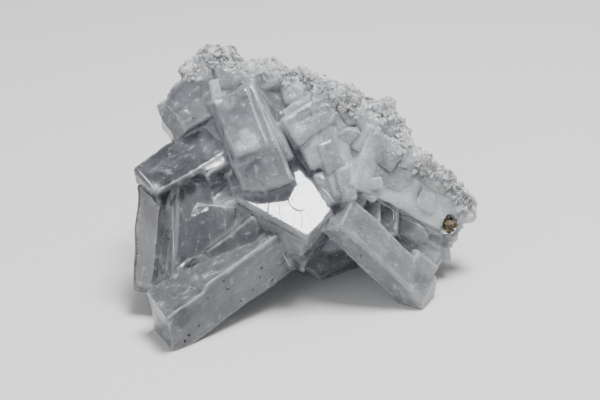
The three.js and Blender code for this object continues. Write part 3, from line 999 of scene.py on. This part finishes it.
class BARITE_OT_crystals(bpy.types.Operator):
    """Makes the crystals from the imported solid: finer, worn, chipped and broken"""

    bl_idname = "barite.crystals"
    bl_label = "Crystals"

    def execute(self, context):
        look = context.scene.barite_crystals
        fine = CrystalMesh("barite_crystals", look.detail)
        values = self.read(fine)
        places = self.shaped(fine, values, look)
        mesh = bpy.data.meshes.new("crystals")
        mesh.from_pydata(places, [], fine.triangles)
        self.finish_mesh(mesh, fine, values)
        mesh.materials.append(barite_material("barite", look, look.glow_depth))
        piece = new_piece("crystals", mesh)
        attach(piece, "root")
        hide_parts("barite_crystals")
        return {"FINISHED"}

    def read(self, fine):
        """What the shape and the material read at each point."""
        crest = fine.edges_turning(math.radians(12), math.pi)
        spots = [
            [(seen_at(fine.tree, x, y)[0], radius * PIXEL, strength) for x, y, radius, strength in table]
            for table in (CLEAR_AND_PAINTED_DARK_SPOTS, WHITE_SPOTS)
        ]
        to_viewer = (camera_place() - SHOW_MIDDLE).normalized()
        grain_middle = sum(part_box("iron_oxide_grain"), Vector()) / 2
        values = {name: [] for name in ("frost", "worn", "clear", "crust", "broken")}
        for place, near, outward in zip(fine.points, fine.around, fine.outward()):
            broken = any(fine.owners[number] is None for number in near)
            near_rim = rim_share(place)
            # The broken mass is frosted behind and along the rim, and smooth where it shows between crystals.
            behind = float(smooth(-outward.dot(to_viewer), -0.3, 0.4))
            rough = max(behind, near_rim) if broken else 0
            frost = 0.5 * rough + near_rim * 0.45 + cloudiness(place) + spot_share(place, spots[1])
            values["frost"].append(min(max(frost, 0), 1))
            values["worn"].append(1 - float(smooth(crest.find(place)[2], 0, 0.7 * MM)))
            # clear lets more light through, and in the material also paints shade: the dark seen through clear
            # crystal.
            values["clear"].append(spot_share(place, spots[0]))
            bare = float(smooth((place - grain_middle).length, 2 * MM, 4 * MM))
            patch = 0.3 + 0.7 * float(smooth(noise.noise(place * 330), -0.3, 0.3))
            values["crust"].append(near_rim**2 * bare * patch * (1 if broken else 0.35))
            values["broken"].append(rough)
        return values

    def shaped(self, fine, values, look):
        """Steps, bends and rounds the faces, then roughens what is broken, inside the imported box."""
        crests = fine.edges_turning(math.radians(12), math.pi)
        creases = fine.edges_turning(-math.pi, -math.radians(12))
        mirror = np.array([any(fine.polished(n) for n in near) for near in fine.around])
        plate = nearest_of([fine.points[i] for i in np.flatnonzero(mirror)])
        places, shares, fill = [], [], []
        for i, (place, outward) in enumerate(zip(fine.points, fine.outward())):
            off_plate = float(smooth(plate.find(place)[2], 0.4 * MM, 4 * MM))
            wear = max(finish_of(fine.owners[number])[1] for number in fine.around[i])
            steps = max(step_depth(fine.owners[number], place) for number in fine.around[i])
            chip = noise.noise(place * 700) + 0.5 * noise.noise(place * 1900)
            depth = values["worn"][i] * max(chip, 0) * look.chip_depth + steps * MM
            bend = noise.noise_vector(place * 110) * look.bend * (0.1 + 0.9 * wear)
            places.append(place + (bend - outward * depth) * off_plate)
            reach = (0.6 + 2.6 * wear) * MM
            crest = 1 - float(smooth(crests.find(place)[2], 0.3 * reach, reach))
            crease = 1 - float(smooth(creases.find(place)[2], 0.2 * MM, 2.2 * MM))
            share = max((0.08 + 0.8 * wear * wear) * crest, 0.6 * crease, 0.2 * wear)
            shares.append(0.02 * crest if mirror[i] else share)
            fill.append(0.3 * crease * (1 - crest))
        kept = 1 - smooth([place.z for place in fine.points], look.foot_kept, 2 * MM)[:, None]
        start = np.array(fine.points)
        places = start * kept + np.array(places) * (1 - kept)
        shares = np.clip(np.array(shares)[:, None], 0, 0.65) * (1 - kept)
        places = rounded(places, fine.triangles, shares, np.array(fill)[:, None], look.rounding_rounds)
        normals = point_normals(places, fine.triangles)
        for i, place in enumerate(places):
            rough = 0.3 * values["broken"][i] + 0.6 * values["crust"][i] + 0.3 * values["frost"][i]
            if not mirror[i] and kept[i] == 0:
                places[i] += normals[i] * grain_height(Vector(place)) * look.crumble_depth * min(rough, 1)
        low, high = (np.array(corner) for corner in CAD_BOX)
        return np.clip(places, low, high)

    def finish_mesh(self, mesh, fine, values):
        """Smooth faces, and the values that the material reads."""
        for polygon in mesh.polygons:
            polygon.use_smooth = True
        for name, found in values.items():
            made = mesh.attributes.new(name, "FLOAT", "POINT")
            made.data.foreach_set("value", np.array(found, np.float32))
        names = list(CRYSTALS)
        # Each face's shade, partly painted light and shade, from its crystal's finish.
        shade = np.full(len(fine.triangles), BROKEN_FINISH[0], np.float32)
        polish = np.zeros(len(fine.triangles), np.float32)
        places = np.array([fine.points[i] for triangle in fine.triangles for i in triangle])
        own = places.reshape(-1, 3, 3) / MM
        facets = np.array(fine.facets)
        for number, owner in fine.owners.items():
            if owner is None:
                continue
            mine = facets == number
            shade[mine] = CRYSTALS[owner][3][0]
            polish[mine] = fine.polished(number)
            turned = np.array(OWN_FRAMES[owner])
            shift = 7.3 * names.index(owner)
            own[mine] = (own[mine] * MM @ turned[:3, :3].T + turned[:3, 3]) / MM + shift
        mesh.attributes.new("shade", "FLOAT", "FACE").data.foreach_set("value", shade)
        mesh.attributes.new("polish", "FLOAT", "FACE").data.foreach_set("value", polish)
        made = mesh.attributes.new("own", "FLOAT_VECTOR", "CORNER")
        made.data.foreach_set("vector", own.astype(np.float32).ravel())
        mesh.update()


def surface_of(mesh):
    """A mesh's surface for finding the place that a pixel shows."""
    mesh.calc_loop_triangles()
    corners = [vert.co for vert in mesh.vertices]
    return BVHTree.FromPolygons(corners, [tuple(triangle.vertices) for triangle in mesh.loop_triangles])


def write_values(mesh, values, own):
    """Gives a mesh the values that the barite reads at each point."""
    for name, found in values.items():
        if name in mesh.attributes:
            mesh.attributes.remove(mesh.attributes[name])
        made = mesh.attributes.new(name, "FLOAT", "POINT")
        made.data.foreach_set("value", np.asarray(found, np.float32))
    made = mesh.attributes.new("own", "FLOAT_VECTOR", "POINT")
    made.data.foreach_set("vector", np.asarray(own, np.float32).ravel())
    mesh.update()


class BARITE_OT_growths(bpy.types.Operator):
    """Sets small crystals into the large ones, where the photograph shows steps and blocks on them"""

    bl_idname = "barite.growths"
    bl_label = "Small crystals"

    def execute(self, context):
        look = context.scene.barite_crystals
        crystals = bpy.data.objects["crystals"].data
        tree = surface_of(crystals)
        places, triangles, own = [], [], []
        values = {"frost": [], "worn": [], "crust": [], "shade": []}
        count = 0
        for i, (x, y, turns, size, proud, (shade, wear)) in enumerate(GROWTHS):
            lattice, made = lattice_block(size, look.detail / MM)
            half = np.array(size) / 2
            edge = np.sort(half - np.abs(lattice), 1)[:, 1]
            facing = crystal_matrix((0, 0, 0), turns)
            facing.translation = seen_at(tree, x, y)[0] + facing.to_3x3() @ Vector((0, 0, proud - size[2] / 2)) * MM
            lattice = self.cut(lattice, half, i)
            spots = np.array([facing @ (Vector(point) * MM) for point in lattice])
            bends = np.array([noise.noise_vector(Vector(spot) * 150) for spot in spots])
            spots = spots + bends * look.bend * (0.3 + 0.5 * wear)
            shares = (0.1 + 0.45 * wear) * (1 - smooth(edge, 0.2 + wear, 0.8 + 2 * wear))[:, None]
            spots = rounded(spots, made, shares, 0 * shares, 2 * look.rounding_rounds)
            near_rim = np.array([rim_share(Vector(spot)) for spot in spots])
            normals = point_normals(spots, made)
            lumps = np.array([grain_height(Vector(spot)) for spot in spots])
            rough = np.clip(near_rim + 0.3 * wear * shade, 0, 1)
            spots = spots + normals * (lumps * rough)[:, None] * look.crumble_depth
            places.append(spots)
            own.append(lattice + 5.1 * i)
            cloudy = np.array([cloudiness(Vector(spot)) for spot in spots])
            values["frost"].append(np.clip(0.75 * near_rim + cloudy + 0.25 * shade, 0, 1))
            values["worn"].append(1 - smooth(edge, 0, 0.7))
            values["crust"].append(0.4 * near_rim**2)
            # The growth's shade, partly painted light and shade, for the material.
            values["shade"].append(np.full(len(spots), shade))
            triangles += [tuple(corner + count for corner in triangle) for triangle in made]
            count += len(spots)
        mesh = bpy.data.meshes.new("small_crystals")
        inside = np.clip(np.concatenate(places), *(np.array(corner) for corner in CAD_BOX))
        mesh.from_pydata(inside, [], triangles)
        for polygon in mesh.polygons:
            polygon.use_smooth = True
        write_values(mesh, {name: np.concatenate(found) for name, found in values.items()}, np.concatenate(own))
        mesh.materials.append(crystals.materials[0])
        piece = new_piece("small_crystals", mesh)
        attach(piece, "root")
        return {"FINISHED"}

    def cut(self, lattice, half, number):
        """Slants a block's ends and takes off a few of its corners."""
        draw = random.Random(number)
        for _ in range(5):
            away = Vector([draw.choice((-1, 1)) * draw.uniform(0.3, 1) for _ in range(3)])
            away = np.array(Vector([away[i] / half[i] for i in range(3)]).normalized())
            reach = np.abs(away) @ half * draw.uniform(0.66, 0.86)
            over = np.maximum(lattice @ away - reach, 0)
            lattice = lattice - over[:, None] * away
        return lattice


class BARITE_OT_hairlines(bpy.types.Operator):
    """Draws the fine dark and pale lines in the faces: cracks, and edges of thin growth layers"""

    bl_idname = "barite.hairlines"
    bl_label = "Hairlines"

    def execute(self, context):
        look = context.scene.barite_hairlines
        trees = [surface_of(bpy.data.objects[name].data) for name in ("crystals", "small_crystals")]
        kinds = (("dark", DARK_HAIRLINES, look.dark), ("pale", PALE_HAIRLINES, look.pale))
        for kind, lines, colour in kinds:
            mesh = bpy.data.meshes.new(f"{kind}_hairlines")
            points, faces = [], []
            for width, line in lines:
                for run in self.runs(trees, line):
                    self.add_strand(points, faces, run, width * MM)
            mesh.from_pydata(points, [], faces)
            for polygon in mesh.polygons:
                polygon.use_smooth = True
            material, tree, shader, _ = new_material(f"{kind}_hairlines")
            place = add_node(tree, "ShaderNodeTexCoord").outputs["Object"]
            broken = ease(tree, grain_noise(tree, place, 1600), 0.35, 0.65)
            lighter = [min(1, 1.6 * value) for value in colour[:3]] + [1]
            feed(tree, shader, {"Base Color": blend_colour(tree, broken, tuple(colour), lighter), "Roughness": 0.4})
            mesh.materials.append(material)
            piece = new_piece(f"{kind}_hairlines", mesh)
            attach(piece, "root")
        return {"FINISHED"}

    def runs(self, trees, line):
        """A line's places and normals on the surface nearest the viewer, parted where the surface jumps."""
        found, run = [], []
        start = camera_place()
        for (x0, y0), (x1, y1) in zip(line, line[1:]):
            steps = max(2, round(math.hypot(x1 - x0, y1 - y0) / 1.5))
            for i in range(steps):
                spot = (x0 + (x1 - x0) * i / steps, y0 + (y1 - y0) * i / steps)
                hits = [seen_at(trees[0], *spot)]
                try:
                    hits.append(seen_at(trees[1], *spot))
                except RuntimeError:
                    pass
                hit = min(hits, key=lambda each: (each[0] - start).length)
                if run and (hit[0] - run[-1][0]).length > 1.2 * MM:
                    found.append(run)
                    run = []
                run.append(hit)
        found.append(run)
        return [run for run in found if len(run) > 2]

    def add_strand(self, points, faces, run, width):
        """One closed four-sided strand along a run, half sunk, with pointed ends."""
        first = len(points)
        last = len(run) - 1
        for i, (place, normal) in enumerate(run):
            ahead = (run[min(i + 1, last)][0] - run[max(i - 1, 0)][0]).normalized()
            side = ahead.cross(normal).normalized()
            half = width / 2 * (0.3 + 0.7 * math.sin(math.pi * (i + 0.5) / (last + 1)) ** 0.5)
            for way in (normal, side, -normal, -side):
                points.append(place + way * half)
        for i in range(last):
            for k in range(4):
                a, b = first + 4 * i + k, first + 4 * i + (k + 1) % 4
                faces.append((a, a + 4, b + 4, b))
        faces.append(tuple(first + k for k in range(4)))
        faces.append(tuple(first + 4 * last + k for k in (3, 2, 1, 0)))


def scatter_tree(name, over_faces):
    """A tree that strews copies of a small piece over a mesh's faces, more where its crust attribute is
    high, or that sets one on each point of a mesh, as wide as its width attribute says."""
    tree = bpy.data.node_groups.new(name, "GeometryNodeTree")
    sides = tree.interface
    sides.new_socket("Geometry", in_out="INPUT", socket_type="NodeSocketGeometry")
    kinds = {"Piece": "Object", "Density": "Float", "Smallest": "Float", "Largest": "Float", "Seed": "Int"}
    for label, kind in {**kinds, "Material": "Material"}.items():
        sides.new_socket(label, in_out="INPUT", socket_type=f"NodeSocket{kind}")
    sides.new_socket("Geometry", in_out="OUTPUT", socket_type="NodeSocketGeometry")
    given = add_node(tree, "NodeGroupInput").outputs
    whole_turn = (2 * math.pi,) * 3
    turn = add_node(
        tree, "FunctionNodeRandomValue", {0: (0, 0, 0), 1: whole_turn, 8: given["Seed"]}, data_type="FLOAT_VECTOR"
    ).outputs[0]
    marked = "crust" if over_faces else "width"
    mark = add_node(tree, "GeometryNodeInputNamedAttribute", {"Name": marked}, data_type="FLOAT").outputs[0]
    if over_faces:
        draw = add_node(tree, "FunctionNodeRandomValue", {2: 0.0, 3: 1.0, 8: given["Seed"]}, data_type="FLOAT")
        small = maths(tree, "POWER", draw.outputs[1], 2.2)
        inputs = {"Value": small, "To Min": given["Smallest"], "To Max": given["Largest"]}
        width = add_node(tree, "ShaderNodeMapRange", inputs).outputs[0]
        density = maths(tree, "MULTIPLY", mark, given["Density"])
        inputs = {"Mesh": given["Geometry"], "Density": density, "Seed": given["Seed"]}
        points = add_node(tree, "GeometryNodeDistributePointsOnFaces", inputs).outputs["Points"]
    else:
        width, points = mark, given["Geometry"]
    copied = add_node(tree, "GeometryNodeObjectInfo", {"Object": given["Piece"]}).outputs["Geometry"]
    inputs = {"Points": points, "Instance": copied, "Rotation": turn, "Scale": width}
    strewn = add_node(tree, "GeometryNodeInstanceOnPoints", inputs).outputs[0]
    draw = add_node(tree, "FunctionNodeRandomValue", {2: 0.0, 3: 1.0, 8: given["Seed"]}, data_type="FLOAT")
    inputs = {"Geometry": strewn, "Name": "draw", "Value": draw.outputs[1]}
    marked = add_node(tree, "GeometryNodeStoreNamedAttribute", inputs, data_type="FLOAT", domain="INSTANCE")
    real = add_node(tree, "GeometryNodeRealizeInstances", {"Geometry": marked.outputs[0]}).outputs[0]
    painted = add_node(tree, "GeometryNodeSetMaterial", {"Geometry": real, "Material": given["Material"]}).outputs[0]
    add_node(tree, "NodeGroupOutput", {"Geometry": painted})
    return tree


def strewn_piece(name, carrier, tree, values):
    """A plain mesh piece made by a scatter tree on a carrier mesh."""
    piece = new_piece(name, carrier)
    modifier = piece.modifiers.new(name, "NODES")
    modifier.node_group = tree
    for socket in tree.interface.items_tree:
        if socket.in_out == "INPUT" and socket.name in values:
            modifier[socket.identifier] = values[socket.name]
    bpy.context.view_layer.update()
    evaluated = piece.evaluated_get(bpy.context.evaluated_depsgraph_get())
    mesh = bpy.data.meshes.new_from_object(evaluated)
    piece.modifiers.clear()
    piece.data = mesh
    mesh.name = name
    return piece


def small_block(sides, bevel):
    """A small bevelled block, about one unit wide."""
    bm = bmesh.new()
    bmesh.ops.create_cube(bm, size=1)
    for vert in bm.verts:
        vert.co = Vector([vert.co[i] * sides[i] for i in range(3)])
    bmesh.ops.bevel(bm, geom=bm.edges[:], offset=bevel, segments=1, affect="EDGES")
    for vert in bm.verts:
        vert.co += noise.noise_vector(vert.co * 2.3) * 0.12
    mesh = bpy.data.meshes.new("small_block")
    bm.to_mesh(mesh)
    bm.free()
    return new_piece("small_block", mesh)


class BARITE_OT_crust(bpy.types.Operator):
    """Strews small crystals over the broken rim"""

    bl_idname = "barite.crust"
    bl_label = "Rim crust"

    def execute(self, context):
        look = context.scene.barite_crust
        block = small_block((1, 0.8, 0.55), 0.07)
        carriers = [bpy.data.objects[name].data for name in ("crystals", "small_crystals")]
        material = barite_material("barite_crust", context.scene.barite_crystals, look.glow_depth)
        values = {
            "Piece": block, "Density": look.density, "Smallest": look.smallest, "Largest": look.largest,
            "Seed": look.seed, "Material": material,
        }
        piece = strewn_piece("rim_crust", self.carrier(carriers), scatter_tree("crust", True), values)
        bpy.data.objects.remove(block)
        mesh = piece.data
        places = np.empty(len(mesh.vertices) * 3, np.float32)
        mesh.vertices.foreach_get("co", places)
        places = np.clip(places.reshape(-1, 3), *(np.array(corner) for corner in CAD_BOX)).astype(np.float32)
        mesh.vertices.foreach_set("co", places.ravel())
        draws = np.empty(len(places), np.float32)
        mesh.attributes["draw"].data.foreach_get("value", draws)
        write_values(mesh, {"frost": look.frost * (0.3 + draws), "shade": 0.3 + 0.5 * draws}, places / MM)
        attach(piece, "root")
        return {"FINISHED"}

    def carrier(self, meshes):
        """One mesh of the surfaces that the crust grows on."""
        points, faces, crust = [], [], []
        for mesh in meshes:
            first = len(points)
            found = np.empty(len(mesh.vertices), np.float32)
            mesh.attributes["crust"].data.foreach_get("value", found)
            points += [vert.co for vert in mesh.vertices]
            faces += [tuple(first + i for i in polygon.vertices) for polygon in mesh.polygons]
            crust.append(found)
        joined = bpy.data.meshes.new("crust_carrier")
        joined.from_pydata(points, [], faces)
        joined.attributes.new("crust", "FLOAT", "POINT").data.foreach_set("value", np.concatenate(crust))
        return joined


class BARITE_OT_specks(bpy.types.Operator):
    """Sets the dark specks that the photograph shows, and strews others round the back"""

    bl_idname = "barite.specks"
    bl_label = "Dark specks"

    def execute(self, context):
        look = context.scene.barite_specks
        crystals = bpy.data.objects["crystals"].data
        tree = surface_of(crystals)
        places = [seen_at(tree, x, y)[0] for x, y, _ in SPECKS]
        widths = [width * MM for _, _, width in SPECKS]
        draw = random.Random(look.seed)
        to_viewer = (camera_place() - SHOW_MIDDLE).normalized()
        while len(places) < len(SPECKS) + look.strewn:
            polygon = crystals.polygons[draw.randrange(len(crystals.polygons))]
            if polygon.normal.dot(to_viewer) < 0.2 and polygon.center.z > 1 * MM:
                places.append(polygon.center.copy())
                widths.append(look.smallest + (look.largest - look.smallest) * draw.random() ** 2)
        carrier = bpy.data.meshes.new("speck_places")
        carrier.from_pydata(places, [], [])
        carrier.attributes.new("width", "FLOAT", "POINT").data.foreach_set("value", widths)
        grain = self.speck()
        material = oxide_material("dark_specks", (0.01, 0.008, 0.007, 1), (0.05, 0.035, 0.025, 1))
        values = {"Piece": grain, "Seed": look.seed, "Material": material}
        piece = strewn_piece("dark_specks", carrier, scatter_tree("specks", False), values)
        bpy.data.objects.remove(grain)
        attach(piece, "root")
        return {"FINISHED"}

    def speck(self):
        """One uneven grain, a unit wide."""
        bm = bmesh.new()
        bmesh.ops.create_icosphere(bm, subdivisions=2, radius=0.5)
        for vert in bm.verts:
            vert.co *= 0.85 + 0.35 * noise.noise(vert.co * 3.1)
            vert.co.z *= 0.7
        mesh = bpy.data.meshes.new("speck")
        bm.to_mesh(mesh)
        bm.free()
        return new_piece("speck", mesh)


class BARITE_OT_grain(bpy.types.Operator):
    """Makes the iron oxide grain in the end of the right block"""

    bl_idname = "barite.grain"
    bl_label = "Iron oxide grain"

    def execute(self, context):
        low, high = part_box("iron_oxide_grain")
        middle = (low + high) / 2
        half = (high - low) / 2
        draw = random.Random(9)
        crumbs = [(Vector(), 0.85)]
        for _ in range(26):
            away = Vector([draw.gauss(0, 1) for _ in range(3)]).normalized()
            size = draw.uniform(0.16, 0.42)
            crumbs.append((away * (draw.uniform(1.05, 1.4) - size), size))
        bm = bmesh.new()
        for number, (place, size) in enumerate(crumbs):
            made = bmesh.ops.create_icosphere(bm, subdivisions=3, radius=1)["verts"]
            for vert in made:
                lumps = noise.voronoi(vert.co * 1.6 + Vector((3, 1, 7 * number)))[0]
                share = 0.8 + 0.4 * min(lumps[1] - lumps[0], 0.5)
                spot = place + vert.co * share * size
                vert.co = middle + Vector([spot[i] * half[i] for i in range(3)])
        mesh = bpy.data.meshes.new("oxide_grain")
        bm.to_mesh(mesh)
        bm.free()
        mesh.materials.append(oxide_material("iron_oxide", (0.028, 0.021, 0.015, 1), (0.15, 0.11, 0.06, 1)))
        piece = new_piece("oxide_grain", mesh)
        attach(piece, "root")
        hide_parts("iron_oxide_grain")
        return {"FINISHED"}


class BARITE_PT_panel(bpy.types.Panel):
    """Lists the pieces"""

    bl_label = "Barite specimen"
    bl_idname = "BARITE_PT_panel"
    bl_space_type = "VIEW_3D"
    bl_region_type = "UI"
    bl_category = "Barite"

    def draw(self, context):
        for operator in OPERATORS:
            self.layout.operator(operator.bl_idname)


OPERATORS = [
    BARITE_OT_stage, BARITE_OT_crystals, BARITE_OT_growths, BARITE_OT_hairlines, BARITE_OT_crust,
    BARITE_OT_specks, BARITE_OT_grain,
]
GROUPS = {
    "barite_crystals": CrystalLook, "barite_hairlines": HairlineLook, "barite_crust": CrustLook,
    "barite_specks": SpeckLook, "barite_stage": StageLook,
}


def register():
    for name, group in GROUPS.items():
        bpy.utils.register_class(group)
        setattr(bpy.types.Scene, name, bpy.props.PointerProperty(type=group))
    for made in OPERATORS + [BARITE_PT_panel]:
        bpy.utils.register_class(made)


def unregister():
    for made in reversed(OPERATORS + [BARITE_PT_panel]):
        bpy.utils.unregister_class(made)
    for name, group in GROUPS.items():
        delattr(bpy.types.Scene, name)
        bpy.utils.unregister_class(group)


def main():
    register()
    bpy.ops.barite.stage()
    bpy.ops.barite.crystals()
    bpy.ops.barite.growths()
    bpy.ops.barite.hairlines()
    bpy.ops.barite.crust()
    bpy.ops.barite.specks()
    bpy.ops.barite.grain()


if __name__ == "__main__":
    main()
